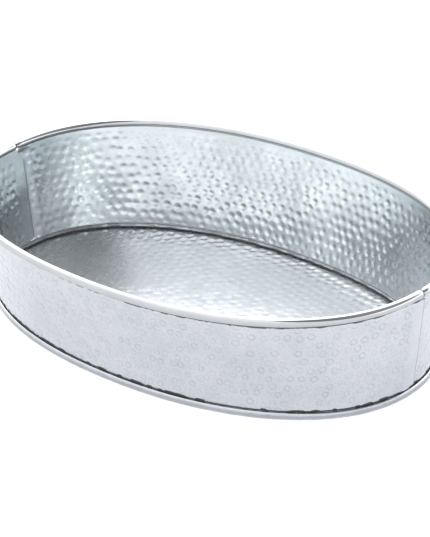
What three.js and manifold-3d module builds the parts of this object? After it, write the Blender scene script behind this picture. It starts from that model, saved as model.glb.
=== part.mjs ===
// Oval hammered tub of galvanised sheet: two wall panels, a flat base and the two wires that stiffen the rim.
//
// The wall panels meet at the two ends of the oval in flat-lock seams. Their top edges are curled outward round
// the rim wires. Their bottom edges are turned up, and the folded edge of the base grips them in a double seam.
// Millimetres, +Z up. The origin is on the ground under the middle of the base, and +X runs along the oval.

import * as THREE from 'three';
import { mergeVertices } from 'three/addons/utils/BufferGeometryUtils.js';
import Module from 'manifold-3d';

// ---------------------------------------------------------------------------------------------------------
// Driving dimensions
// ---------------------------------------------------------------------------------------------------------

const SHEET = 0.5; // thickness of the sheet
const SHEET_GAP = 0.2; // clearance between sheets that are folded over each other

// The centre line of the rolled rim. A squareness of 2 is an ellipse, and more fills out its corners.
const RIM = { halfLength: 200, halfWidth: 138, squareness: 2.21, height: 85.8 };
const CURL_RADIUS = 3.2; // outside of the rolled rim
const CURL_END_ANGLE = -110; // where the curl's free edge stops, in degrees from straight out
const NECK_INSET = 1.9; // the wall's middle lies this far inside the centre of the rolled rim
const WIRE_RADIUS = 2.4;

// The outermost edge of the double seam, on the ground.
const FOOT = { halfLength: 191.2, halfWidth: 120.6, squareness: 2.15 };
const SEAM_HEIGHT = 5.3;
const FLOOR_RING = 8; // the floor is one flat face inside a ring of this width

// The flat-lock seams at the ends: four layers of sheet pressed thin and hooked into each other.
const LOCK_SHEET = 0.4;
const LOCK_PITCH = 0.65; // from the middle of one layer to the middle of the next
const LOCK_HALF_WIDTH = 4.5;
const LOCK_BOTTOM = 6.6;
const LOCK_TOP = 79;
const LOCK_NOTCH = 0.4; // clearance above and below the layers, in the notched corners of the stepped end
const LOCK_TIP_GAP = 0.3; // how far a layer's free edge stops short of the fold that holds it
const JOGGLE_END = LOCK_HALF_WIDTH + 1.4; // the stepped end steps outward over the tab between these two
const JOGGLE_START = LOCK_HALF_WIDTH + 3.6;

const BUTT_GAP = 0.4; // between the ends of the two panels at the rim and at the foot
const WIRE_END = 4; // the wires stop this far inside the ends of their curls

// Fineness
const SIDE_STEPS = 34; // steps along each panel, away from its ends
const CURL_STEPS = 10;
const FOLD_STEPS = 4;
const WIRE_SIDES = 8;
const LOCK_STEP = 3; // longest straight piece of a layer in the lock

const COLOURS = { wall: 0xc3cad0, base: 0xbfc6cc, wire: 0xa9adb0 };

// ---------------------------------------------------------------------------------------------------------
// The oval. A station is an angle round it: 0 is the +X end, and a quarter turn is the middle of the rear.
// ---------------------------------------------------------------------------------------------------------

// A point on an oval, moved outward by a distance square to the oval, at a given height.
function ovalPoint(oval, station, outward, height) {
  const aimX = RIM.halfLength * Math.cos(station);
  const aimY = RIM.halfWidth * Math.sin(station);
  const power = oval.squareness;
  const reach = Math.abs(aimX / oval.halfLength) ** power + Math.abs(aimY / oval.halfWidth) ** power;
  const x = aimX * reach ** (-1 / power);
  const y = aimY * reach ** (-1 / power);
  const normal = new THREE.Vector2(
    (Math.sign(x) * Math.abs(x / oval.halfLength) ** (power - 1)) / oval.halfLength,
    (Math.sign(y) * Math.abs(y / oval.halfWidth) ** (power - 1)) / oval.halfWidth,
  ).normalize();
  return new THREE.Vector3(x + normal.x * outward, y + normal.y * outward, height);
}

// The station that lies a distance along the rim from the +X end.
const stationAt = (distance) => distance / RIM.halfWidth;

// The stations of one panel, from just past the +X end to just short of the -X end. Short steps at the ends
// keep the sheet's faces true where the layers of the lock grow out of them.
function panelStations() {
  const nearEnd = [BUTT_GAP / 2, 2, JOGGLE_START - 0.3, JOGGLE_START + 1.9].map(stationAt);
  const start = nearEnd[nearEnd.length - 1];
  const stride = (Math.PI - 2 * start) / SIDE_STEPS;
  const along = Array.from({ length: SIDE_STEPS - 1 }, (_, i) => start + (i + 1) * stride);
  const farEnd = nearEnd.map((station) => Math.PI - station).reverse();
  return [...nearEnd, ...along, ...farEnd];
}

const REAR_STATIONS = panelStations();
const FRONT_STATIONS = REAR_STATIONS.map((station) => station - Math.PI);

// ---------------------------------------------------------------------------------------------------------
// Sections and solids
// ---------------------------------------------------------------------------------------------------------

function arcPoints(centreX, centreY, radius, startDegrees, endDegrees, steps) {
  return Array.from({ length: steps + 1 }, (_, i) => {
    const angle = THREE.MathUtils.degToRad(startDegrees + ((endDegrees - startDegrees) * i) / steps);
    return new THREE.Vector2(centreX + radius * Math.cos(angle), centreY + radius * Math.sin(angle));
  });
}

// For each point of a path, the step from the path's middle to the sheet's left face, with mitred corners.
function leftSteps(path, thickness) {
  return path.map((point, i) => {
    const before = path[Math.max(i - 1, 0)];
    const after = path[Math.min(i + 1, path.length - 1)];
    const arriving = point.clone().sub(before).normalize();
    const leaving = after.clone().sub(point).normalize();
    const along = arriving.clone().add(leaving).normalize();
    const mitre = i > 0 && i < path.length - 1 ? along.dot(arriving) : 1;
    return new THREE.Vector2(-along.y, along.x).multiplyScalar(thickness / 2 / mitre);
  });
}

// The closed outline of a sheet that follows a path: its left face forward, then its right face back.
function sheetOutline(path, thickness) {
  const steps = leftSteps(path, thickness);
  const left = path.map((point, i) => point.clone().add(steps[i]));
  const right = path.map((point, i) => point.clone().sub(steps[i]));
  return [...left, ...right.reverse()];
}

function geometryFrom(points, triangles) {
  const geometry = new THREE.BufferGeometry().setFromPoints(points);
  geometry.setIndex(triangles.flat());
  return geometry;
}

// The faces between each ring and the next. The rings are closed and have equally many points.
function stitch(rings) {
  const size = rings[0].length;
  const triangles = [];
  for (let row = 0; row + 1 < rings.length; row += 1) {
    for (let i = 0; i < size; i += 1) {
      const a = row * size + i;
      const b = row * size + ((i + 1) % size);
      triangles.push([a, b, a + size], [b, b + size, a + size]);
    }
  }
  return triangles;
}

// A closed solid between rings that all have the shape of one flat outline, with that outline as its ends.
function solidBetween(rings, outline) {
  const last = (rings.length - 1) * outline.length;
  const counterClockwise = THREE.ShapeUtils.triangulateShape(outline, []);
  const clockwise = counterClockwise.map(([a, b, c]) => [a, c, b]);
  const backward = THREE.ShapeUtils.isClockWise(outline);
  const start = backward ? counterClockwise : clockwise;
  const end = (backward ? clockwise : counterClockwise).map((face) => face.map((corner) => corner + last));
  return facingOut(geometryFrom(rings.flat(), [...stitch(rings), ...start, ...end]));
}

// Turns every face round if the solid's volume comes out negative.
function facingOut(geometry) {
  const position = geometry.getAttribute('position');
  const index = Array.from(geometry.getIndex().array);
  const corner = (i) => new THREE.Vector3().fromBufferAttribute(position, i);
  let volume = 0;
  for (let i = 0; i < index.length; i += 3) {
    volume += corner(index[i]).dot(corner(index[i + 1]).cross(corner(index[i + 2])));
  }
  if (volume < 0) geometry.setIndex(index.reverse());
  return geometry;
}

// ---------------------------------------------------------------------------------------------------------
// Booleans
// ---------------------------------------------------------------------------------------------------------

const wasm = await Module();
wasm.setup();

function toManifold(geometry) {
  const bare = geometry.clone();
  bare.deleteAttribute('normal');
  bare.deleteAttribute('uv');
  const merged = mergeVertices(bare);
  const vertProperties = new Float32Array(merged.getAttribute('position').array);
  const triVerts = new Uint32Array(merged.getIndex().array);
  return new wasm.Manifold(new wasm.Mesh({ numProp: 3, vertProperties, triVerts }));
}

function fromManifold(solid) {
  const { vertProperties, triVerts } = solid.getMesh();
  const geometry = new THREE.BufferGeometry();
  geometry.setAttribute('position', new THREE.BufferAttribute(new Float32Array(vertProperties), 3));
  geometry.setIndex(Array.from(triVerts));
  return geometry;
}

// ---------------------------------------------------------------------------------------------------------
// The wall's section, from the curl's free edge, over the wire, down the wall and up its turned-up edge.
// Points are (outward, height): those of the rim lie on the rim's oval, and those of the foot on the foot's.
// ---------------------------------------------------------------------------------------------------------

const FOLD_PITCH = SHEET + SHEET_GAP;
const FOLD_LAYER = [0, 1, 2, 3].map((layer) => -SHEET / 2 - layer * FOLD_PITCH); // from the outside inward
const FOLD_TOP = SEAM_HEIGHT - SHEET / 2 - FOLD_PITCH; // centre of the base's fold
const FOLD_BOTTOM = SHEET + SHEET_GAP + SHEET / 2 + FOLD_PITCH; // centre of the wall's fold
const FOLD_TIP = 0.05; // a free edge stops this far short of its fold's centre
const MIDDLE_FLARE = 12.5; // how far the rim stands out beyond the foot, on average round the oval

const curlMiddle = CURL_RADIUS - SHEET / 2;
const neckAngle = 180 + THREE.MathUtils.radToDeg(Math.acos(NECK_INSET / curlMiddle));
const NECK_DROP = Math.sqrt(curlMiddle ** 2 - NECK_INSET ** 2);

function wallOutline() {
  const rimPath = arcPoints(0, 0, curlMiddle, CURL_END_ANGLE, neckAngle, CURL_STEPS);
  const footPath = [
    new THREE.Vector2(FOLD_LAYER[3], SEAM_HEIGHT),
    ...arcPoints(FOLD_LAYER[2], FOLD_BOTTOM, FOLD_PITCH, 180, 360, FOLD_STEPS),
    new THREE.Vector2(FOLD_LAYER[1], FOLD_TOP - FOLD_TIP),
  ];
  const lifted = new THREE.Vector2(MIDDLE_FLARE, RIM.height);
  const path = [...rimPath.map((point) => point.clone().add(lifted)), ...footPath];
  return sheetOutline(path, SHEET).map((point) => {
    const onRim = point.y > RIM.height / 2;
    return { onRim, flat: point, local: onRim ? point.clone().sub(lifted) : point };
  });
}

function sectionPoint(station, { onRim, local }) {
  return onRim
    ? ovalPoint(RIM, station, local.x, RIM.height + local.y)
    : ovalPoint(FOOT, station, local.x, local.y);
}

function wallPanel(stations) {
  const outline = wallOutline();
  const rings = stations.map((station) => outline.map((point) => sectionPoint(station, point)));
  return solidBetween(rings, outline.map((point) => point.flat));
}

// ---------------------------------------------------------------------------------------------------------
// The flat-lock seams. Each panel has a tab at one end and a stepped end that hooks over the other panel's tab,
// so the two panels are alike. The layers are drawn in plan: along is the distance from the joint, from the
// tab's panel towards the stepped one, and outward is measured from the wall's outer face.
// ---------------------------------------------------------------------------------------------------------

// A point on the straight part of the wall.
function wallPoint(station, outward, height) {
  const neckHeight = RIM.height - NECK_DROP;
  const low = ovalPoint(FOOT, station, FOLD_LAYER[3] + SHEET / 2 + outward, SEAM_HEIGHT);
  const high = ovalPoint(RIM, station, SHEET / 2 - NECK_INSET + outward, neckHeight);
  return low.lerp(high, (height - SEAM_HEIGHT) / (neckHeight - SEAM_HEIGHT));
}

// A solid with the same plan outline from one height on the wall to another, at the station of a joint.
function wallPrism(outline, bottom, top, joint) {
  const rings = [bottom, top].map((height) =>
    outline.map(({ x: along, y: outward }) => wallPoint(joint - stationAt(along), outward, height)),
  );
  return solidBetween(rings, outline);
}

// Puts extra points on the long straight pieces of a path, so that it follows the curve of the wall.
function withShortSteps(path) {
  return path.flatMap((point, i) => {
    if (i === 0) return [point];
    const pieces = Math.ceil(point.distanceTo(path[i - 1]) / LOCK_STEP);
    return Array.from({ length: pieces }, (_, k) => path[i - 1].clone().lerp(point, (k + 1) / pieces));
  });
}

// Middles of the four layers, from the inside outward. The first lies in the thickness of the wall.
const LOCK_LAYER = [0, 1, 2, 3].map((layer) => -SHEET / 2 + layer * LOCK_PITCH);

// The tab runs past the joint and folds outward and back.
function tabPath() {
  return [
    new THREE.Vector2(-1.5, LOCK_LAYER[0]),
    ...arcPoints(LOCK_HALF_WIDTH, LOCK_LAYER[1], LOCK_PITCH, -90, 90, FOLD_STEPS),
    new THREE.Vector2(-LOCK_HALF_WIDTH + LOCK_TIP_GAP, LOCK_LAYER[2]),
  ];
}

// The stepped end steps outward over that fold, runs past the joint and folds inward, into the tab's fold.
function steppedPath() {
  return [
    new THREE.Vector2(JOGGLE_START + 1.4, LOCK_LAYER[0]),
    new THREE.Vector2(JOGGLE_START, LOCK_LAYER[0]),
    new THREE.Vector2(JOGGLE_END, LOCK_LAYER[3]),
    ...arcPoints(-LOCK_HALF_WIDTH, LOCK_LAYER[2], LOCK_PITCH, 90, 270, FOLD_STEPS),
    new THREE.Vector2(LOCK_HALF_WIDTH - LOCK_TIP_GAP, LOCK_LAYER[1]),
  ];
}

function lockLayers(path, joint) {
  const outline = sheetOutline(withShortSteps(path), LOCK_SHEET);
  return toManifold(wallPrism(outline, LOCK_BOTTOM, LOCK_TOP, joint));
}

// The part of a panel's wall that its notched and stepped end leaves out.
function lockWindow(joint) {
  const outline = [
    new THREE.Vector2(-3, -3),
    new THREE.Vector2(JOGGLE_START - 0.3, -3),
    new THREE.Vector2(JOGGLE_START - 0.3, 3),
    new THREE.Vector2(-3, 3),
  ];
  return toManifold(wallPrism(outline, LOCK_BOTTOM - LOCK_NOTCH, LOCK_TOP + LOCK_NOTCH, joint));
}

// ---------------------------------------------------------------------------------------------------------
// The pieces
// ---------------------------------------------------------------------------------------------------------

function wallWithSeams(stations, tabJoint, steppedJoint) {
  const wall = toManifold(wallPanel(stations))
    .subtract(lockWindow(steppedJoint))
    .add(lockLayers(steppedPath(), steppedJoint))
    .add(lockLayers(tabPath(), tabJoint));
  return fromManifold(wall);
}

// The base is one sheet: its floor, the outer leg of the double seam, and the fold down behind the wall's edge.
function basePanel() {
  const corner = 0.5;
  const path = [
    new THREE.Vector2(-FLOOR_RING, SHEET / 2),
    ...arcPoints(FOLD_LAYER[0] - corner, SHEET / 2 + corner, corner, -90, 0, 2),
    ...arcPoints(FOLD_LAYER[1], FOLD_TOP, FOLD_PITCH, 0, 180, FOLD_STEPS),
    new THREE.Vector2(FOLD_LAYER[2], FOLD_BOTTOM + FOLD_TIP),
  ];
  const stations = [...REAR_STATIONS, ...REAR_STATIONS.map((station) => station + Math.PI)];
  const rings = sheetOutline(path, SHEET).map((point) =>
    stations.map((station) => ovalPoint(FOOT, station, point.x, point.y)),
  );
  const size = stations.length;
  const firstMiddle = rings.length * size;
  const lastRing = firstMiddle - size;
  const triangles = stitch(rings);
  for (let i = 0; i < size; i += 1) {
    const next = (i + 1) % size;
    triangles.push([next, i, firstMiddle], [lastRing + i, lastRing + next, firstMiddle + 1]);
  }
  const middles = [new THREE.Vector3(0, 0, SHEET), new THREE.Vector3(0, 0, 0)];
  return facingOut(geometryFrom([...rings.flat(), ...middles], triangles));
}

function rimWire(stations) {
  const outline = arcPoints(0, 0, WIRE_RADIUS, 0, 360, WIRE_SIDES).slice(0, -1);
  const end = stationAt(WIRE_END);
  const wireStations = [stations[0] + end, ...stations.slice(2, -2), stations[stations.length - 1] - end];
  const rings = wireStations.map((station) =>
    outline.map((point) => ovalPoint(RIM, station, point.x, RIM.height + point.y)),
  );
  return solidBetween(rings, outline);
}

function piece(name, geometry, color) {
  const flat = geometry.toNonIndexed();
  flat.computeVertexNormals();
  const material = new THREE.MeshStandardMaterial({ color, roughness: 0.38, metalness: 0.9 });
  const mesh = new THREE.Mesh(flat, material);
  mesh.name = name;
  return mesh;
}

const group = new THREE.Group();
group.add(piece('front_wall', wallWithSeams(FRONT_STATIONS, Math.PI, 0), COLOURS.wall));
group.add(piece('rear_wall', wallWithSeams(REAR_STATIONS, 0, Math.PI), COLOURS.wall));
group.add(piece('base_panel', basePanel(), COLOURS.base));
group.add(piece('front_rim_wire', rimWire(FRONT_STATIONS), COLOURS.wire));
group.add(piece('rear_rim_wire', rimWire(REAR_STATIONS), COLOURS.wire));

export default group;
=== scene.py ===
"""The looks of an oval hammered tub of galvanised sheet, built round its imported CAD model.

Each wall panel and the base are dense sheets whose hammer marks are real shape. A sheet is laid out as a
grid of points on its middle surface: rows run across the sheet's section and columns run round the oval.
"""

import math

import bpy
import numpy as np
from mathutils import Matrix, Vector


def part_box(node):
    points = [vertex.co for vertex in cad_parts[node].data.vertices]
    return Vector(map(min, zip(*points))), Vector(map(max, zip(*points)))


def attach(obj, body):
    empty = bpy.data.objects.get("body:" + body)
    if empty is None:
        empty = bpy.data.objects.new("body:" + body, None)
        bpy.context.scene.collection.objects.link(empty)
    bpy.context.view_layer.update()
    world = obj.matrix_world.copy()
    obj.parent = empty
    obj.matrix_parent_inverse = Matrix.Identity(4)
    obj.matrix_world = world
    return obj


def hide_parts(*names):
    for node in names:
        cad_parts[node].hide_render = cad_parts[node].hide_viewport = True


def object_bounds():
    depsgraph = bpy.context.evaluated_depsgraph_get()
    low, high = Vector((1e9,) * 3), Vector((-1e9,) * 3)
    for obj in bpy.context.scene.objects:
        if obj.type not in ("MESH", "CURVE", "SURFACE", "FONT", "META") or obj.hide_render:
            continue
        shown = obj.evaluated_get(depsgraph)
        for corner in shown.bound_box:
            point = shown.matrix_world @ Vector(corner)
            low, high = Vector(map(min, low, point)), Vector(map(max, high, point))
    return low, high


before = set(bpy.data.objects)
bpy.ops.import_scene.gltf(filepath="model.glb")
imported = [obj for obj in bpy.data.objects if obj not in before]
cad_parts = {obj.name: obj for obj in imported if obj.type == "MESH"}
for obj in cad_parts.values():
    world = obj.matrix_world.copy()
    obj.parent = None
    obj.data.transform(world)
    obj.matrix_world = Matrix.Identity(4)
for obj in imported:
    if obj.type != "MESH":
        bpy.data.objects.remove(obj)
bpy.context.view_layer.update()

MM = 0.001

# ----------------------------------------------------------------------------------------------------------
# Sizes, from the CAD model's boxes and the sheet's own dimensions
# ----------------------------------------------------------------------------------------------------------

SHEET = 0.5 * MM
SHEET_GAP = 0.2 * MM
CURL_RADIUS = 3.2 * MM  # outside of the rolled rim
CURL_END_ANGLE = -110  # the curl's free edge, in degrees from straight out
CURL_MIDDLE = CURL_RADIUS - SHEET / 2
NECK_INSET = 1.9 * MM  # the wall's middle lies this far inside the centre of the rolled rim
NECK_ANGLE = 180 + math.degrees(math.acos(NECK_INSET / CURL_MIDDLE))
NOSE_LENGTH = 1.1 * CURL_RADIUS  # the rolled rim is drawn in towards its ends over this length
DRAWN_IN = 0.35  # how much, as a share of its radius, where its ends aren't round

rim_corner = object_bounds()[1]
foot_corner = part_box("base_panel")[1]
RIM = (rim_corner.x - CURL_RADIUS, rim_corner.y - CURL_RADIUS, 2.21)  # half length, half width, squareness
FOOT = (foot_corner.x, foot_corner.y, 2.15)
RIM_HEIGHT = rim_corner.z - CURL_RADIUS
NECK_HEIGHT = RIM_HEIGHT - math.sqrt(CURL_MIDDLE**2 - NECK_INSET**2)
SEAM_HEIGHT = foot_corner.z

FOLD_PITCH = SHEET + SHEET_GAP
FOLD_LAYERS = [-SHEET / 2 - layer * FOLD_PITCH for layer in range(4)]  # from the outside inward
FOLD_TOP = SEAM_HEIGHT - SHEET / 2 - FOLD_PITCH
FOLD_BOTTOM = SHEET + SHEET_GAP + SHEET / 2 + FOLD_PITCH
FOLD_TIP_GAP = 0.05 * MM

LOCK_SHEET = 0.34 * MM
LOCK_PITCH = 0.45 * MM
LOCK_HALF_WIDTH = 4.5 * MM
LOCK_BOTTOM = 6.6 * MM
LOCK_TOP = 79 * MM
LOCK_LAYERS = [-SHEET / 2 + layer * LOCK_PITCH for layer in range(4)]  # from the inside outward
LOCK_TIP_GAP = 0.3 * MM
LOCK_FOOT_GAP = 0.9 * MM  # the layers start this far above the foot of the step that covers them
LOCK_ROOT = 1.5 * MM  # and this far back in their own panel
LOCK_CORNER_CUT = 1.1  # how steeply a tab is cut off at its top corner
LOCK_FOLD_SHADE = 0.8  # how dark the painted shade along the lock's folds is, and how far it reaches in from them
LOCK_FOLD_SHADE_WIDTH = 0.6 * MM
TAB_COVER = LOCK_HALF_WIDTH + 0.8 * MM  # the lock's layers cover this much of the tab's panel
STEP_START = LOCK_HALF_WIDTH + 9 * MM  # between these two distances from its end a panel steps out
STEP_END = LOCK_HALF_WIDTH + 1 * MM
STEP_FALL_START = LOCK_TOP + 1 * MM  # and between these two heights, above the lock, it falls back
STEP_FALL_END = LOCK_TOP + 3.5 * MM
BUTT_GAP = 0.4 * MM

MARK_PITCH = 8.6 * MM  # from one hammer mark to the next
MARK_RADIUS = 3.3 * MM
MARK_FLAT = 0.42  # the flat middle of a mark, as a share of its radius
MARK_DEPTH = 0.21 * MM
MARK_JITTER = 0.19  # how far a mark strays, in pitches
MARK_WIDTH_SPREAD = 0.1  # how much the marks differ in width and depth, as a share of the mean
MARK_DEPTH_SPREAD = 0.35
FLOOR_MARKS = 0.42  # how deep the marks in the middle of the floor are, as a share of those in the walls
EDGE_MARKS = 2.6  # and round the floor's edge
SEAM_MARKS = 0.5  # and the bruises on the base seam's outer leg
UNSTRUCK = 1.4 * MARK_DEPTH  # how far unstruck floor stands up, times FLOOR_MARKS or EDGE_MARKS
RIM_BAND = 5.5 * MM  # smooth sheet under the rolled rim
BAND_FADE = 2 * MM  # the marks fade this far to either side of its edge, and this far above the foot
MARK_FADE = 3 * MM  # the marks beside a lock seam fade in over this distance
WAVE_COUNT = 6
WALL_WAVE = 90 * MM  # length of the slow waves in the walls, and how high they are
WALL_WAVE_HEIGHT = 0.35 * MM
WAVE_FADE = 20 * MM  # the waves die out over this distance towards the rim and the foot
FLOOR_WAVE = 120 * MM
FLOOR_WAVE_HEIGHT = 0.5 * MM

COLUMN = 1.25 * MM  # width of a column of a wall panel
CURL_ROWS = 24
WALL_ROWS = 72
BASE_COLUMNS = 768
SEAM_ROW = 0.9 * MM  # rows of the base's seam are no further apart than this
FLOOR_RINGS = 88
UNDERSIDE_RINGS = 40
LOCK_ROWS = 40
LOCK_COLUMN = 0.6 * MM
SHARP_ANGLE = math.radians(38)  # edges that bend more than this aren't shaded smooth


# ----------------------------------------------------------------------------------------------------------
# The oval. A station is an angle round it: 0 is the +X end, and a quarter turn is the middle of the rear.
# ----------------------------------------------------------------------------------------------------------


def oval_points(oval, station, outward, height):
    """Points on an oval, moved outward square to it, at given heights."""
    half_length, half_width, power = oval
    aim_x = RIM[0] * np.cos(station)
    aim_y = RIM[1] * np.sin(station)
    reach = np.abs(aim_x / half_length) ** power + np.abs(aim_y / half_width) ** power
    x = aim_x * reach ** (-1 / power)
    y = aim_y * reach ** (-1 / power)
    slope_x = np.sign(x) * np.abs(x / half_length) ** (power - 1) / half_length
    slope_y = np.sign(y) * np.abs(y / half_width) ** (power - 1) / half_width
    steepness = np.hypot(slope_x, slope_y)
    x = x + outward * slope_x / steepness
    y = y + outward * slope_y / steepness
    return np.stack(np.broadcast_arrays(x, y, height), axis=-1)


def rim_lengths(stations):
    """Distance along the rim from the first station to each one."""
    rim = oval_points(RIM, stations, 0.0, RIM_HEIGHT)
    steps = np.linalg.norm(np.diff(rim, axis=0), axis=1)
    return np.concatenate([[0.0], np.cumsum(steps)])


def even_stations(first, last, count):
    """Stations an equal distance apart along the rim."""
    fine = np.linspace(first, last, 20001)
    lengths = rim_lengths(fine)
    return np.interp(np.linspace(0, lengths[-1], count), lengths, fine)


def smooth_step(value, low, high):
    """0 below low, 1 above high, and a smooth rise between them."""
    t = np.clip((value - low) / (high - low), 0, 1)
    return t * t * (3 - 2 * t)


# ----------------------------------------------------------------------------------------------------------
# Hammer marks
# ----------------------------------------------------------------------------------------------------------


def hammer_marks(u, v, seed):
    """Staggered rows of shallow round dents at points (u, v) of a flat sheet: their depth, and how steep
    their flanks are, up to 1."""
    row_pitch = MARK_PITCH * math.sqrt(3) / 2
    u = u - u.min() + 2 * MARK_PITCH
    v = v - v.min() + 2 * row_pitch
    shape = (int(v.max() / row_pitch) + 4, int(u.max() / MARK_PITCH) + 4)
    stray_u, stray_v, width, force = np.random.default_rng(seed).uniform(-1, 1, (4, *shape))
    depth = np.zeros_like(u)
    flank = np.zeros_like(u)
    nearest_row = np.rint(v / row_pitch).astype(int)
    for row_step in (-1, 0, 1):
        row = nearest_row + row_step
        stagger = 0.5 * (row % 2)
        nearest_column = np.rint(u / MARK_PITCH - stagger).astype(int)
        for column_step in (-1, 0, 1):
            column = nearest_column + column_step
            mark_u = (column + stagger + MARK_JITTER * stray_u[row, column]) * MARK_PITCH
            mark_v = (row + MARK_JITTER * stray_v[row, column]) * row_pitch
            radius = MARK_RADIUS * (1 + MARK_WIDTH_SPREAD * width[row, column])
            away = np.hypot(u - mark_u, v - mark_v) / radius
            fall = np.clip((away - MARK_FLAT) / (1 - MARK_FLAT), 0, 1)
            depth += (1 + MARK_DEPTH_SPREAD * force[row, column]) * (1 - smooth_step(fall, 0, 1))
            flank = np.maximum(flank, 4 * fall * (1 - fall) * (0.7 + 0.3 * force[row, column]))
    return MARK_DEPTH * depth, flank


def slow_waves(u, v, seed, size, height):
    """Broad unevenness of a hand-worked sheet: a few long waves that cross each other."""
    generator = np.random.default_rng(seed)
    waves = np.zeros_like(u)
    for _ in range(WAVE_COUNT):
        direction, phase, length = generator.uniform(0, 1, 3)
        along = u * math.cos(direction * math.tau) + v * math.sin(direction * math.tau)
        waves += np.sin(along * math.tau / (size * (0.6 + length)) + phase * math.tau)
    return height * waves / WAVE_COUNT


# ----------------------------------------------------------------------------------------------------------
# Meshes
# ----------------------------------------------------------------------------------------------------------


def grid_normals(points):
    """Unit normals of a grid of points, square to its rows and columns."""
    down = np.gradient(points, axis=0)
    across = np.gradient(points, axis=1)
    normals = np.cross(down, across)
    return normals / np.linalg.norm(normals, axis=-1, keepdims=True)


def closed_sheet(middle, thickness, wear_and_flank_shade=0.0, painted_fold_shade=0.0):
    """A closed sheet round a grid of points on its middle surface, as points, quads and two shares at each
    point: how far wear and painted shade darken it round the hammer marks' flanks, and how far painted
    shade darkens it along folds."""
    rows, columns = middle.shape[:2]
    lift = grid_normals(middle) * thickness / 2
    points = np.concatenate([(middle + lift).reshape(-1, 3), (middle - lift).reshape(-1, 3)])
    index = np.arange(rows * columns).reshape(rows, columns)
    upper = np.stack([index[:-1, :-1], index[1:, :-1], index[1:, 1:], index[:-1, 1:]], axis=-1).reshape(-1, 4)
    lower = upper[:, ::-1] + rows * columns
    edge = np.concatenate([index[:-1, 0], index[-1, :-1], index[:0:-1, -1], index[0, :0:-1], index[:1, 0]])
    start, end = edge[:-1], edge[1:]
    rim = np.stack([end, start, start + rows * columns, end + rows * columns], axis=-1)
    wear_and_flank_shade, painted_fold_shade = (np.tile(np.broadcast_to(values, middle.shape[:2]).ravel(), 2) for values in (wear_and_flank_shade, painted_fold_shade))
    return points, np.concatenate([upper, lower, rim]), wear_and_flank_shade, painted_fold_shade


def joined(sheets):
    """Several closed sheets as one."""
    offsets = np.cumsum([0] + [len(sheet[0]) for sheet in sheets[:-1]])
    points, _, wear_and_flank_shade, painted_fold_shade = (np.concatenate(values) for values in zip(*sheets))
    return points, np.concatenate([sheet[1] + offset for sheet, offset in zip(sheets, offsets)]), wear_and_flank_shade, painted_fold_shade


def ring_surface(rings):
    """A closed surface from one middle point to another through rings. A ring may have half or twice the
    points of the one before it. Returns points and triangles."""
    points = np.concatenate([*rings, rings[0].mean(0)[None], rings[-1].mean(0)[None]])
    starts = np.cumsum([0] + [len(ring) for ring in rings])
    faces = []
    for ring, following, start, next_start in zip(rings, rings[1:], starts, starts[1:]):
        n, m = len(ring), len(following)
        i = np.arange(min(n, m))
        after = (i + 1) % min(n, m)
        if n == m:
            faces += [np.stack([start + i, start + after, next_start + i], -1)]
            faces += [np.stack([start + after, next_start + after, next_start + i], -1)]
            continue
        coarse, fine = (next_start, start) if n > m else (start, next_start)
        middle, last = fine + 2 * i + 1, fine + (2 * i + 2) % max(n, m)
        fans = [(fine + 2 * i, middle, coarse + i), (middle, coarse + after, coarse + i)]
        fans += [(middle, last, coarse + after)]
        faces += [np.stack(fan if n > m else fan[::-1], -1) for fan in fans]
    for ring, start, centre, turn in ((rings[0], 0, -2, 1), (rings[-1], starts[-2], -1, -1)):
        i = np.arange(len(ring))
        fan = [start + (i + 1) % len(ring), start + i, np.full(len(ring), len(points) + centre)]
        faces += [np.stack(fan[::turn], -1)]
    return points, np.concatenate(faces)


def piece(name, points, faces, wear_and_flank_shade, painted_fold_shade, material):
    """A smooth-shaded object that rides on the tub's one body."""
    mesh = bpy.data.meshes.new(name)
    corners = faces.shape[1]
    mesh.vertices.add(len(points))
    mesh.vertices.foreach_set("co", points.astype(np.float32).ravel())
    mesh.loops.add(faces.size)
    mesh.loops.foreach_set("vertex_index", faces.astype(np.int32).ravel())
    mesh.polygons.add(len(faces))
    mesh.polygons.foreach_set("loop_start", np.arange(0, faces.size, corners, dtype=np.int32))
    mesh.update(calc_edges=True)
    for label, values in (("wear_and_flank_shade", wear_and_flank_shade), ("painted_fold_shade", painted_fold_shade)):
        mesh.attributes.new(label, "FLOAT", "POINT").data.foreach_set("value", values.astype(np.float32))
    mesh.shade_smooth()
    mesh.set_sharp_from_angle(angle=SHARP_ANGLE)
    mesh.materials.append(material)
    made = bpy.data.objects.new(name, mesh)
    bpy.context.scene.collection.objects.link(made)
    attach(made, "root")
    return made


# ----------------------------------------------------------------------------------------------------------
# Wall panels
# ----------------------------------------------------------------------------------------------------------


def arc(centre_x, centre_y, radius, start, end, steps):
    """Points along an arc in a plane, between two angles in degrees."""
    angles = np.radians(np.linspace(start, end, steps + 1))
    return np.stack([centre_x + radius * np.cos(angles), centre_y + radius * np.sin(angles)], axis=-1)


def wall_point(station, outward, height):
    """A point on the straight part of the wall, measured outward from its outer face."""
    low = oval_points(FOOT, station, FOLD_LAYERS[3] + SHEET / 2 + outward, SEAM_HEIGHT)
    high = oval_points(RIM, station, SHEET / 2 - NECK_INSET + outward, NECK_HEIGHT)
    share = (height - SEAM_HEIGHT) / (NECK_HEIGHT - SEAM_HEIGHT)
    return low + (high - low) * np.asarray(share)[..., None]


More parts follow.
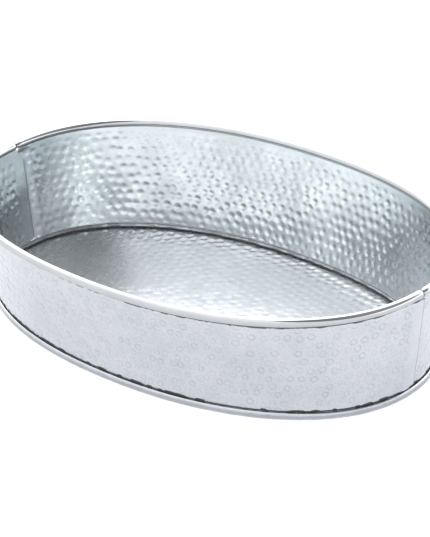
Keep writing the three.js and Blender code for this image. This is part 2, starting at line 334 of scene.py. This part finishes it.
def wall_middle(stations, rounded_ends):
    """The middle surface of a panel: the curl from its free edge, the wall downward, and its turned-up edge.
    The ends of the curl are pinched to a round nose or only drawn in a little."""
    curl = arc(0, 0, CURL_MIDDLE, CURL_END_ANGLE, NECK_ANGLE, CURL_ROWS)
    lengths = rim_lengths(stations)
    from_end = np.minimum(lengths, lengths[-1] - lengths)
    closing = np.clip(1 - from_end / NOSE_LENGTH, 0, 0.97)
    closed = np.sqrt(1 - closing**2) if rounded_ends else 1 - DRAWN_IN * closing**2
    column = stations[None, :]
    rim_rows = oval_points(RIM, column, curl[:, :1] * closed, RIM_HEIGHT + curl[:, 1:] * closed)
    heights = np.linspace(NECK_HEIGHT, SEAM_HEIGHT, WALL_ROWS)[1:, None]
    wall_rows = wall_point(column, -SHEET / 2, heights)
    fold = arc(FOLD_LAYERS[2], FOLD_BOTTOM, FOLD_PITCH, 180, 360, 6)
    band = np.array([[FOLD_LAYERS[3], SEAM_HEIGHT + (FOLD_BOTTOM - SEAM_HEIGHT) * k / 4] for k in (1, 2, 3)])
    tip = np.array([[FOLD_LAYERS[1], FOLD_TOP - FOLD_TIP_GAP]])
    foot = np.concatenate([band, fold, tip])
    foot_rows = oval_points(FOOT, column, foot[:, :1], foot[:, 1:])
    return np.concatenate([rim_rows, wall_rows, foot_rows])


def hammered_panel(stations, seed, rounded_ends):
    """One wall panel without its lock layers. Its last columns are the stepped end, moved out over the
    lock."""
    middle = wall_middle(stations, rounded_ends)
    lengths = rim_lengths(stations)[None, :]
    from_tab = lengths
    from_step = lengths[0, -1] - lengths
    row_steps = np.linalg.norm(np.diff(middle[:, len(stations) // 2], axis=0), axis=1)
    down = np.concatenate([[0.0], np.cumsum(row_steps)])[:, None]
    neck = down[CURL_ROWS, 0]
    foot = down[CURL_ROWS + WALL_ROWS - 1, 0]
    u, v = np.broadcast_arrays(lengths, down)
    on_wall = smooth_step(down, neck + RIM_BAND - BAND_FADE, neck + RIM_BAND + BAND_FADE)
    on_wall = on_wall * (1 - smooth_step(down, foot - BAND_FADE, foot))
    beside_tab = smooth_step(from_tab, TAB_COVER, TAB_COVER + MARK_FADE)
    beside_lock = beside_tab * smooth_step(from_step, STEP_END, STEP_END + MARK_FADE)
    depth, flank = hammer_marks(u, v, seed)
    hammered = on_wall * beside_lock
    outward = depth * hammered
    between = smooth_step(down, neck, neck + WAVE_FADE) * (1 - smooth_step(down, foot - WAVE_FADE, foot))
    waves = slow_waves(u, v, seed + 1, WALL_WAVE, WALL_WAVE_HEIGHT)
    outward = outward + waves * between * beside_lock
    height = np.broadcast_to(middle[:, :1, 2], middle.shape[:2])
    in_lock = smooth_step(height, LOCK_BOTTOM - 1 * MM, LOCK_BOTTOM) * ((down > neck) & (down < foot))
    in_lock = in_lock * (1 - smooth_step(height, STEP_FALL_START, STEP_FALL_END))
    step = LOCK_LAYERS[3] - LOCK_LAYERS[0]
    outward = outward + step * in_lock * (1 - smooth_step(from_step, STEP_END, STEP_START))
    # The flanks of the marks are darkened in the material: partly wear, and partly painted shade for their
    # darker reflection.
    return closed_sheet(middle + grid_normals(middle) * outward[..., None], SHEET, wear_and_flank_shade=flank * hammered)


def dense_path(path, spacing):
    """A path with points no further apart than the spacing."""
    pieces = [path[:1]]
    for start, end in zip(path[:-1], path[1:]):
        count = max(1, math.ceil(np.linalg.norm(end - start) / spacing))
        pieces.append(start + (end - start) * np.linspace(0, 1, count + 1)[1:, None])
    return np.concatenate(pieces)


def lock_layers(path, joint, corner_cut):
    """One panel's layers in the lock seam at a joint's station. The path is in plan: along, from the tab's
    panel towards the stepped one, and outward."""
    path = dense_path(path, LOCK_COLUMN)
    along, outward = path[:, 0], path[:, 1]
    top = LOCK_TOP - corner_cut * np.clip(along, 0, None)
    bottom = LOCK_BOTTOM + LOCK_FOOT_GAP
    heights = top + (bottom - top) * np.linspace(0, 1, LOCK_ROWS)[:, None]
    station = joint - along / RIM[1]
    # Painted shade along the seam's folds, near the ends of each layer.
    on_fold = smooth_step(np.abs(along), LOCK_HALF_WIDTH - LOCK_FOLD_SHADE_WIDTH, LOCK_HALF_WIDTH)
    middle = wall_point(station[None, :], outward[None, :], heights)
    return closed_sheet(middle, LOCK_SHEET, painted_fold_shade=LOCK_FOLD_SHADE * on_fold)


def tab_path():
    """The tab's layers in plan: out to its fold, and back between the layers of the stepped panel."""
    fold = arc(LOCK_HALF_WIDTH, LOCK_LAYERS[1], LOCK_PITCH, -90, 90, 8)
    tip = [[-LOCK_HALF_WIDTH + LOCK_TIP_GAP, LOCK_LAYERS[2]]]
    return np.concatenate([[[-LOCK_ROOT, LOCK_LAYERS[0]]], fold, tip])


def stepped_path():
    """The stepped panel's layers: the tab's, turned half round in the seam."""
    return np.array([0, LOCK_LAYERS[0] + LOCK_LAYERS[3]]) - tab_path()


def make_wall(name, node, tab_joint, seed, rounded_ends, material):
    """A wall panel, from the joint where it has its tab to the one where it steps over the other's tab."""
    gap = BUTT_GAP / 2 / RIM[1]
    first, last = tab_joint + gap, tab_joint + math.pi - gap
    count = int(rim_lengths(np.linspace(first, last, 2001))[-1] / COLUMN)
    parts = [hammered_panel(even_stations(first, last, count), seed, rounded_ends)]
    parts += [lock_layers(tab_path(), tab_joint, LOCK_CORNER_CUT)]
    parts += [lock_layers(stepped_path(), tab_joint + math.pi, 0.0)]
    wall = piece(name, *joined(parts), material)
    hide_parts(node)


# ----------------------------------------------------------------------------------------------------------
# Base
# ----------------------------------------------------------------------------------------------------------

FLOOR_EDGE = 3.2 * MM  # the hammered floor starts this far in from the seam's outer face
FLOOR_FADE = 3.5 * MM  # and its marks fade in over this distance
MIDDLE_START = FLOOR_EDGE + 5 * MM  # between these two the edge's marks give way to the middle's
MIDDLE_END = FLOOR_EDGE + 25 * MM
FLOOR_TILT = math.radians(-10)  # the rows of marks run askew to the oval


def floor_lift(points):
    """How far the floor's sheet stands up at points of it: unevenly, and less where it is struck down."""
    x, y = points[:, 0], points[:, 1]
    u = x * math.cos(FLOOR_TILT) + y * math.sin(FLOOR_TILT)
    v = y * math.cos(FLOOR_TILT) - x * math.sin(FLOOR_TILT)
    marks = hammer_marks(u, v, 31)[0]
    waves = slow_waves(x, y, 32, FLOOR_WAVE, FLOOR_WAVE_HEIGHT) + FLOOR_WAVE_HEIGHT
    half_length, half_width, power = FOOT
    inside = 1 - (np.abs(x / half_length) ** power + np.abs(y / half_width) ** power) ** (1 / power)
    depth_in = inside * half_width
    on_floor = smooth_step(depth_in, FLOOR_EDGE, FLOOR_EDGE + FLOOR_FADE)
    on_middle = smooth_step(depth_in, MIDDLE_START, MIDDLE_END)
    force = EDGE_MARKS + (FLOOR_MARKS - EDGE_MARKS) * on_middle
    return np.clip(UNSTRUCK - marks, 0, None) * force * on_floor + waves * on_middle


def floor_rings(stations, count, halving, height):
    """Rings from the floor's edge to its middle, with half the points wherever they would crowd. A larger
    halving thins them out sooner."""
    edge = oval_points(FOOT, stations, -FLOOR_EDGE, height)
    rings = []
    for k in range(count):
        share = 1 - (k + 0.5) / count
        stride = 1
        while share * stride < halving and stride < 64:
            stride *= 2
        ring = edge[::stride].copy()
        ring[:, :2] *= share
        rings.append(ring)
    lifts = np.split(floor_lift(np.concatenate(rings)), np.cumsum([len(ring) for ring in rings])[:-1])
    for ring, lift in zip(rings, lifts):
        ring[:, 2] += lift
    return rings


def seam_path():
    """The base's section from the floor's edge to the free edge that is folded down behind the wall's."""
    corner = 0.5 * MM
    under = arc(FOLD_LAYERS[0] - corner, SHEET / 2 + corner, corner, -90, 0, 5)
    over = arc(FOLD_LAYERS[1], FOLD_TOP, FOLD_PITCH, 0, 180, 10)
    tip = [[FOLD_LAYERS[2], FOLD_BOTTOM + FOLD_TIP_GAP]]
    return dense_path(np.concatenate([[[-FLOOR_EDGE, SHEET / 2]], under, over, tip]), SEAM_ROW)


def make_base(material):
    """The base as one closed surface: its hammered floor, the seam round it, and its underside."""
    stations = even_stations(0, math.tau, BASE_COLUMNS + 1)[:-1]
    path = seam_path()
    around = np.concatenate([stations, stations[:1] + math.tau])
    middle = oval_points(FOOT, around[None, :], path[:, :1], path[:, 1:])
    normals = grid_normals(middle)
    lengths = rim_lengths(around)[None, :]
    down = np.arange(len(path))[:, None] * SEAM_ROW
    bruises = SEAM_MARKS * hammer_marks(*np.broadcast_arrays(lengths, down), 41)[0]
    on_outer_leg = (path[:, 0] > -0.6 * MM) & (path[:, 1] > 0.6 * MM) & (path[:, 1] < FOLD_TOP)
    middle = middle + normals * (bruises * on_outer_leg[:, None])[..., None]  # normals face inward there
    lift = normals * SHEET / 2
    upper = [ring[:-1] for ring in middle + lift]
    lower = [ring[:-1] for ring in middle - lift]
    floor = floor_rings(stations, FLOOR_RINGS, halving=0.55, height=SHEET)
    underside = floor_rings(stations, UNDERSIDE_RINGS, halving=1.1, height=0.0)
    points, faces = ring_surface(floor[::-1] + upper + lower[::-1] + underside)
    clean = np.zeros(len(points))
    base = piece("hammered_base", points, faces, clean, clean, material)
    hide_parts("base_panel")


# ----------------------------------------------------------------------------------------------------------
# Materials
# ----------------------------------------------------------------------------------------------------------

RIM_WEAR = 0.26  # how much darker handling has made the rolled rim
RIM_GLOSS = 0.4  # and how rough it is, as a share of the wall's roughness
SHADE_AND_WEAR_COLOUR = (0.02, 0.022, 0.025, 1)  # the colour that painted shade and wear darken the zinc towards


def node(tree, kind, **inputs):
    made = tree.nodes.new(kind)
    for name, value in inputs.items():
        made.inputs[name.replace("_", " ")].default_value = value
    return made


def mapped(tree, source, from_range, to_range):
    """The source moved smoothly from one range of values to another, and held at its ends."""
    made = node(tree, "ShaderNodeMapRange", From_Min=from_range[0], From_Max=from_range[1])
    made.interpolation_type = "SMOOTHSTEP"
    made.inputs["To Min"].default_value, made.inputs["To Max"].default_value = to_range
    tree.links.new(source, made.inputs["Value"])
    return made.outputs["Result"]


def computed(tree, operation, *values):
    """A Math node. Each value is a number or another node's output."""
    made = tree.nodes.new("ShaderNodeMath")
    made.operation = operation
    for value, socket in zip(values, made.inputs):
        if isinstance(value, float):
            socket.default_value = value
        else:
            tree.links.new(value, socket)
    return made.outputs[0]


def mixed(tree, share, first, second):
    """A colour that lies a share of the way from one colour to another. The first may be a node's output."""
    made = node(tree, "ShaderNodeMix")
    made.data_type = "RGBA"
    tree.links.new(share, made.inputs["Factor"])
    if isinstance(first, tuple):
        made.inputs["A"].default_value = first
    else:
        tree.links.new(first, made.inputs["A"])
    made.inputs["B"].default_value = second
    return made.outputs["Result"]


def outside_mask(tree, place):
    """1 on faces that look away from the middle of the tub, 0 on faces that look towards it."""
    flat = node(tree, "ShaderNodeVectorMath")
    flat.operation = "MULTIPLY"
    flat.inputs[1].default_value = (1, 1, 0)
    tree.links.new(place, flat.inputs[0])
    facing = node(tree, "ShaderNodeVectorMath")
    facing.operation = "DOT_PRODUCT"
    tree.links.new(flat.outputs[0], facing.inputs[0])
    tree.links.new(node(tree, "ShaderNodeNewGeometry").outputs["Normal"], facing.inputs[1])
    return mapped(tree, facing.outputs["Value"], (-0.01, 0.01), (0.0, 1.0))


def attribute(tree, name):
    made = tree.nodes.new("ShaderNodeAttribute")
    made.attribute_name = name
    return made.outputs["Fac"]


def rim_mask(tree, height):
    """1 on the rolled rim and the wires in it, 0 below."""
    return mapped(tree, height, (NECK_HEIGHT, NECK_HEIGHT + 1 * MM), (0.0, 1.0))


def wear_and_flank_shade_share(tree, outside, grain, on_rim):
    """How much the sheet is darkened: its outside by wear in specks, and by wear and painted shade round the
    hammer marks' flanks, and its rim by wear."""
    flanks = computed(tree, "MULTIPLY", computed(tree, "POWER", attribute(tree, "wear_and_flank_shade"), 2.0), 0.24)
    specks = mapped(tree, grain, (0.4, 0.65), (0.07, 0.21))
    on_outside = computed(tree, "MULTIPLY", outside, computed(tree, "ADD", flanks, specks))
    return computed(tree, "MAXIMUM", on_outside, computed(tree, "MULTIPLY", on_rim, RIM_WEAR))


def painted_shade_line(tree, height, blotches, line, thin, wide):
    """Painted shade along a line round the wall: thin for the most part, and wider in blotches."""
    distance = computed(tree, "ABSOLUTE", computed(tree, "SUBTRACT", height, line))
    width = mapped(tree, blotches, (0.48, 0.6), (thin, wide))
    return mapped(tree, computed(tree, "DIVIDE", distance, width), (0.5, 1.0), (1.0, 0.0))


def zinc(name, dark, light, rough_low, rough_high, outside_shade_lines=(), inside_shade_lines=()):
    """Bright zinc on steel: soft spangle in its colour, clouded gloss, fine handling marks, wear and painted
    shade round the hammer marks, and lines of painted shade. A line of painted shade is (height, thin half
    width, blotch half width, darkness)."""
    material = bpy.data.materials.new(name)
    material.use_nodes = True
    tree = material.node_tree
    shader = tree.nodes["Principled BSDF"]
    place = node(tree, "ShaderNodeTexCoord").outputs["Object"]

    spangle = node(tree, "ShaderNodeTexVoronoi", Scale=85.0, Randomness=1.0)
    clouds = node(tree, "ShaderNodeTexNoise", Scale=26.0, Detail=5.0, Roughness=0.6)
    grain = node(tree, "ShaderNodeTexNoise", Scale=1400.0, Detail=3.0, Roughness=0.6)
    blotches = node(tree, "ShaderNodeTexNoise", Scale=110.0, Detail=2.0)
    for texture in (spangle, clouds, grain, blotches):
        tree.links.new(place, texture.inputs["Vector"])
    crystal = node(tree, "ShaderNodeSeparateColor")
    tree.links.new(spangle.outputs["Color"], crystal.inputs["Color"])

    crystals = mapped(tree, crystal.outputs["Red"], (0.0, 1.0), (0.0, 0.3))
    cloudiness = mapped(tree, clouds.outputs["Fac"], (0.25, 0.75), (0.0, 0.7))
    blend = computed(tree, "ADD", crystals, cloudiness)
    clean = mixed(tree, blend, (*dark, 1), (*light, 1))
    roughness = mapped(tree, blend, (0.0, 1.0), (rough_high, rough_low))

    axes = node(tree, "ShaderNodeSeparateXYZ")
    tree.links.new(place, axes.inputs["Vector"])
    outside = outside_mask(tree, place)
    inside = computed(tree, "SUBTRACT", 1.0, outside)
    # Painted shade along the lock seam's folds, joined below by the lines of painted shade. It darkens the
    # zinc and takes its gloss and metal away.
    painted_shade_share = attribute(tree, "painted_fold_shade")
    for side, lines in ((outside, outside_shade_lines), (inside, inside_shade_lines)):
        for line, thin, wide, darkness in lines:
            layer = painted_shade_line(tree, axes.outputs["Z"], blotches.outputs["Fac"], line, thin, wide)
            layer = computed(tree, "MULTIPLY", computed(tree, "MULTIPLY", layer, side), darkness)
            painted_shade_share = computed(tree, "MAXIMUM", painted_shade_share, layer)
    on_rim = rim_mask(tree, axes.outputs["Z"])
    roughness = computed(tree, "MULTIPLY", roughness, mapped(tree, on_rim, (0.0, 1.0), (1.0, RIM_GLOSS)))
    wear_and_flank_shade = wear_and_flank_shade_share(tree, outside, grain.outputs["Fac"], on_rim)
    # How far the zinc is darkened: by painted shade, by wear, and by wear and painted shade round the hammer
    # marks.
    darkened = computed(tree, "MAXIMUM", painted_shade_share, wear_and_flank_shade)
    tree.links.new(mixed(tree, darkened, clean, SHADE_AND_WEAR_COLOUR), shader.inputs["Base Color"])
    tree.links.new(computed(tree, "MAXIMUM", roughness, painted_shade_share), shader.inputs["Roughness"])
    tree.links.new(computed(tree, "SUBTRACT", 1.0, painted_shade_share), shader.inputs["Metallic"])

    bump = node(tree, "ShaderNodeBump", Strength=0.2, Distance=0.00004)
    tree.links.new(grain.outputs["Fac"], bump.inputs["Height"])
    tree.links.new(bump.outputs["Normal"], shader.inputs["Normal"])
    return material


def lit_table(name, colour, glow):
    """The white translucent top of a light table, which takes the shadows off, with a trace of tooth."""
    material = bpy.data.materials.new(name)
    material.use_nodes = True
    tree = material.node_tree
    shader = tree.nodes["Principled BSDF"]
    shader.inputs["Base Color"].default_value = (*colour, 1)
    shader.inputs["Roughness"].default_value = 0.9
    shader.inputs["Emission Color"].default_value = (*colour, 1)
    shader.inputs["Emission Strength"].default_value = glow / colour[1]
    tooth = node(tree, "ShaderNodeTexNoise", Scale=300.0)
    bump = node(tree, "ShaderNodeBump", Strength=0.05, Distance=0.0002)
    tree.links.new(tooth.outputs["Fac"], bump.inputs["Height"])
    tree.links.new(bump.outputs["Normal"], shader.inputs["Normal"])
    return material


# ----------------------------------------------------------------------------------------------------------
# Studio
# ----------------------------------------------------------------------------------------------------------


def make_camera():
    """The photo's viewpoint, fitted to the lines of the rim, the base seam and the two end seams."""
    azimuth, elevation, roll = (math.radians(a) for a in (41.33, 26.92, -1.1))
    target = np.array([-49.1, 64.1, 0.0]) * MM
    distance = 2046 * MM
    back = np.array([
        math.sin(azimuth) * math.cos(elevation),
        -math.cos(azimuth) * math.cos(elevation),
        math.sin(elevation),
    ])
    level_right = np.array([math.cos(azimuth), math.sin(azimuth), 0.0])
    level_up = np.cross(back, level_right)
    right = level_right * math.cos(roll) + level_up * math.sin(roll)
    up = level_up * math.cos(roll) - level_right * math.sin(roll)
    data = bpy.data.cameras.new("camera")
    data.sensor_width = 36
    data.lens = 174.3
    data.clip_end = 50
    camera = bpy.data.objects.new("camera", data)
    bpy.context.scene.collection.objects.link(camera)
    matrix = np.eye(4)
    matrix[:3, 0], matrix[:3, 1], matrix[:3, 2] = right, up, back
    matrix[:3, 3] = target + back * distance
    camera.matrix_world = matrix.T.tolist()
    bpy.context.scene.camera = camera


def towards(tree, direction, near, far):
    """1 where the sky lies towards a direction, falling to 0 between two cosines."""
    look = node(tree, "ShaderNodeTexCoord").outputs["Generated"]
    facing = node(tree, "ShaderNodeVectorMath")
    facing.operation = "DOT_PRODUCT"
    facing.inputs[1].default_value = Vector(direction).normalized()
    tree.links.new(look, facing.inputs[0])
    return mapped(tree, facing.outputs["Value"], (far, near), (0.0, 1.0))


def make_world():
    """A bright room, brightest along its rear and in a window above the left rear, with an unlit patch of
    ceiling over the right."""
    world = bpy.data.worlds.new("studio")
    world.use_nodes = True
    tree = world.node_tree
    background = tree.nodes["Background"]
    axes = node(tree, "ShaderNodeSeparateXYZ")
    tree.links.new(node(tree, "ShaderNodeTexCoord").outputs["Generated"], axes.inputs["Vector"])
    walls = mapped(tree, axes.outputs["Y"], (-0.2, 0.25), (1.3, 2.15))
    ceiling = mapped(tree, axes.outputs["Z"], (0.35, 0.8), (0.0, 0.3))
    window = towards(tree, (-0.45, 0.5, 0.74), 0.95, 0.75)
    bright = computed(tree, "ADD", computed(tree, "ADD", walls, ceiling), window)
    patch = towards(tree, (0.58, 0.12, 0.8), 0.85, 0.74)
    lit = mapped(tree, patch, (0.0, 1.0), (1.0, 0.2))
    background.inputs["Color"].default_value = (1.0, 0.975, 1.0, 1)
    tree.links.new(computed(tree, "MULTIPLY", bright, lit), background.inputs["Strength"])
    bpy.context.scene.world = world


def make_studio():
    bpy.context.scene.view_settings.view_transform = "Standard"
    make_world()
    mesh = bpy.data.meshes.new("floor")
    reach = 6.0
    corners = [(-reach, -reach, 0), (reach, -reach, 0), (reach, reach, 0), (-reach, reach, 0)]
    mesh.from_pydata(corners, [], [(0, 1, 2, 3)])
    mesh.materials.append(lit_table("floor_table", (0.215, 0.21, 0.222), 0.84))
    floor = bpy.data.objects.new("floor", mesh)
    bpy.context.scene.collection.objects.link(floor)


# ----------------------------------------------------------------------------------------------------------
# The scene
# ----------------------------------------------------------------------------------------------------------

make_camera()
make_studio()

# Lines of painted shade. Outside: the shadow and reflection of the rolled rim's underside, the crevice over
# the base seam, and the base seam's side face. Inside: the crease under the rolled rim, the crevice at the
# foot of the wall, and the one along the floor's edge.
under_curl = (RIM_HEIGHT - 5.2 * MM, 0.6 * MM, 1.5 * MM, 0.9)
seam_band = (0.4 * SEAM_HEIGHT, 1.7 * MM, 2.4 * MM, 0.42)
over_seam = (SEAM_HEIGHT + 0.7 * MM, 0.8 * MM, 2.4 * MM, 0.95)
under_neck = (NECK_HEIGHT, 0.3 * MM, 0.5 * MM, 0.15)
over_fold = (SEAM_HEIGHT - 0.8 * MM, 0.5 * MM, 1 * MM, 0.6)
floor_edge = (SHEET + 0.9 * MM, 0.9 * MM, 1.6 * MM, 0.8)
wall_zinc = zinc("wall_zinc", (0.632, 0.674, 0.684), (0.717, 0.759, 0.769), 0.12, 0.24,
                 (under_curl, over_seam), (under_neck, over_fold, floor_edge))
base_zinc = zinc("base_zinc", (0.615, 0.66, 0.68), (0.695, 0.74, 0.76), 0.18, 0.3, (seam_band,))
wire_steel = zinc("wire_steel", (0.50, 0.51, 0.52), (0.60, 0.61, 0.62), 0.35, 0.5)

make_wall("hammered_front_wall", "front_wall", -math.pi, 11, True, wall_zinc)
make_wall("hammered_rear_wall", "rear_wall", 0.0, 21, False, wall_zinc)
make_base(base_zinc)
for wire in ("front_rim_wire", "rear_rim_wire"):
    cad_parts[wire].data.materials.clear()
    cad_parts[wire].data.materials.append(wire_steel)
